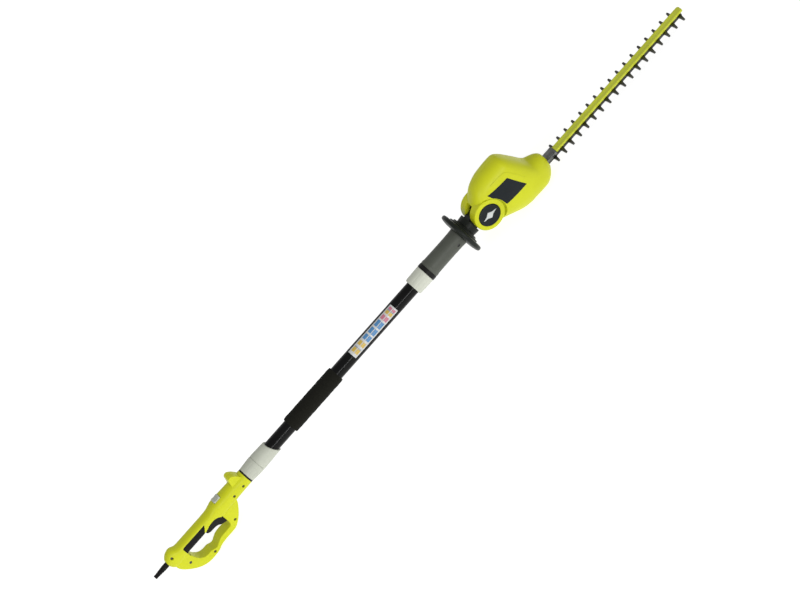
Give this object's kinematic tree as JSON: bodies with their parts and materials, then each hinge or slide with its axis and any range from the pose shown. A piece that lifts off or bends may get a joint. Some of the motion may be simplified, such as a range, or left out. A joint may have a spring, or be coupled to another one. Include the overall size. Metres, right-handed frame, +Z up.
{
  "type": "hedge trimmer",
  "caption": "Electric pole hedge trimmer: closed rear handle with trigger, straight pole with screw couplings and foam grip, disc hand guard, tilting motor head and a long double-sided blade.",
  "frame": {"origin": "centre of the bounding box in plan, on the floor plane under the handle loop and the head housing", "axes": "+X along the pole from the rear handle towards the blade tip, +Y to the user's left, +Z up; the head is drawn straight, at zero tilt"},
  "size_m": [1.784, 0.116, 0.1595],
  "materials": {
    "lime_plastic": "satin moulded",
    "black_plastic": "fine grain",
    "soft_black": "matte",
    "foam": "open foam",
    "grey_plastic": "fine grain",
    "dark_grey_plastic": "fine grain",
    "inner_plastic": "moulded",
    "black_coated_tube": "satin",
    "label_film": "gloss",
    "steel": "ground",
    "zinc_screw": "zinc plated",
    "spring_steel": "drawn wire",
    "cast_alloy": "as cast",
    "green_bar": "satin",
    "electrical_steel": "laminated",
    "copper": "enamelled wire",
    "brass": "plain",
    "carbon": "graphite",
    "white_plastic": "moulded",
    "cable_rubber": "matte"
  },
  "bodies": {
    "pole_unit": {"cord_guard": "soft_black", "cord_clamp": "inner_plastic", "handle_shell_left": "lime_plastic", "handle_shell_right": "lime_plastic", "grip_insert": "soft_black", "trigger_pin": "steel", "trigger_spring": "spring_steel", "lock_off_spring": "spring_steel", "switch_unit": "inner_plastic", "terminal_block": "white_plastic", "suppressor": "inner_plastic", "handle_cable": "cable_rubber", "handle_screws": "zinc_screw", "handle_spigot": "black_plastic", "contact_plugs": "inner_plastic", "contact_sockets": "inner_plastic", "lower_socket": "grey_plastic", "pole_tube": "black_coated_tube", "pole_cable": "cable_rubber", "foam_grip": "foam", "pole_label": "label_film", "neck_collar": "black_plastic", "neck_shell_left": "dark_grey_plastic", "neck_shell_right": "dark_grey_plastic", "neck_screws": "zinc_screw", "hand_guard": "black_plastic", "tilt_bracket": "cast_alloy", "neck_cable": "cable_rubber"},
    "lower_nut": {"lower_nut": "grey_plastic"},
    "upper_nut": {"upper_nut": "grey_plastic"},
    "trigger": {"trigger": "black_plastic"},
    "lock_off_button": {"lock_off_button": "grey_plastic"},
    "head": {"tilt_pin": "steel", "tilt_button_spring": "spring_steel", "pivot_cap": "black_plastic", "head_shell_left": "lime_plastic", "head_shell_right": "lime_plastic", "badges": "black_plastic", "head_screws": "zinc_screw", "motor_lead": "cable_rubber", "motor_end_plate": "inner_plastic", "brush_holders": "brass", "carbon_brushes": "carbon", "stator": "electrical_steel", "field_windings": "copper", "bearings": "steel", "gear_case": "cast_alloy", "gear_tray": "cast_alloy", "case_screws": "zinc_screw", "blade_bracket": "steel", "guide_bar": "green_bar", "blade_bolts": "zinc_screw"},
    "tilt_button": {"tilt_button": "black_plastic"},
    "rotor": {"armature": "electrical_steel", "cooling_fan": "white_plastic", "motor_pinion": "steel"},
    "crank": {"drive_gear": "steel", "crankshaft": "steel"},
    "upper_blade": {"upper_blade": "steel"},
    "lower_blade": {"lower_blade": "steel"}
  },
  "joints": [
    {"name": "lower_nut_turn", "type": "hinge", "parent": "pole_unit", "child": "lower_nut", "pos_m": [-0.5575, 0, 0.081], "axis": [1, 0, 0], "range_deg": [0, 360]},
    {"name": "upper_nut_turn", "type": "hinge", "parent": "pole_unit", "child": "upper_nut", "pos_m": [0.023, 0, 0.081], "axis": [1, 0, 0], "range_deg": [0, 360]},
    {"name": "trigger_squeeze", "type": "hinge", "parent": "pole_unit", "child": "trigger", "pos_m": [-0.688, 0, 0.072], "axis": [0, 1, 0], "range_deg": [0, 8], "stiffness_Nm_per_rad": 0.4, "springref_deg": -20.05, "deforming": ["trigger_spring"]},
    {"name": "lock_off_press", "type": "slide", "parent": "pole_unit", "child": "lock_off_button", "axis": [0, 0, -1], "range_m": [0, 0.004], "stiffness_N_per_m": 500, "springref_m": -0.005, "deforming": ["lock_off_spring"]},
    {"name": "head_tilt", "type": "hinge", "parent": "pole_unit", "child": "head", "pos_m": [0.2424, 0, 0.081], "axis": [0, 1, 0], "range_deg": [-45, 45]},
    {"name": "tilt_button_press", "type": "slide", "parent": "head", "child": "tilt_button", "axis": [0, 1, 0], "range_m": [0, 0.005], "stiffness_N_per_m": 800, "springref_m": -0.005, "deforming": ["tilt_button_spring"]},
    {"name": "rotor_spin", "type": "hinge", "parent": "head", "child": "rotor", "pos_m": [0.318, 0, 0.1], "axis": [0, 0, 1], "continuous": true},
    {"name": "crank_spin", "type": "hinge", "parent": "head", "child": "crank", "pos_m": [0.3495, 0, 0.045], "axis": [0, 0, 1], "continuous": true},
    {"name": "upper_blade_stroke", "type": "slide", "parent": "head", "child": "upper_blade", "axis": [1, 0, 0], "range_m": [-0.006, 0.006]},
    {"name": "lower_blade_stroke", "type": "slide", "parent": "head", "child": "lower_blade", "axis": [1, 0, 0], "range_m": [-0.006, 0.006]}
  ],
  "couplings": [
    {"joint": "crank_spin", "follows": "rotor_spin", "ratio": -0.16667},
    {"joint": "lower_blade_stroke", "follows": "upper_blade_stroke", "ratio": -1}
  ]
}
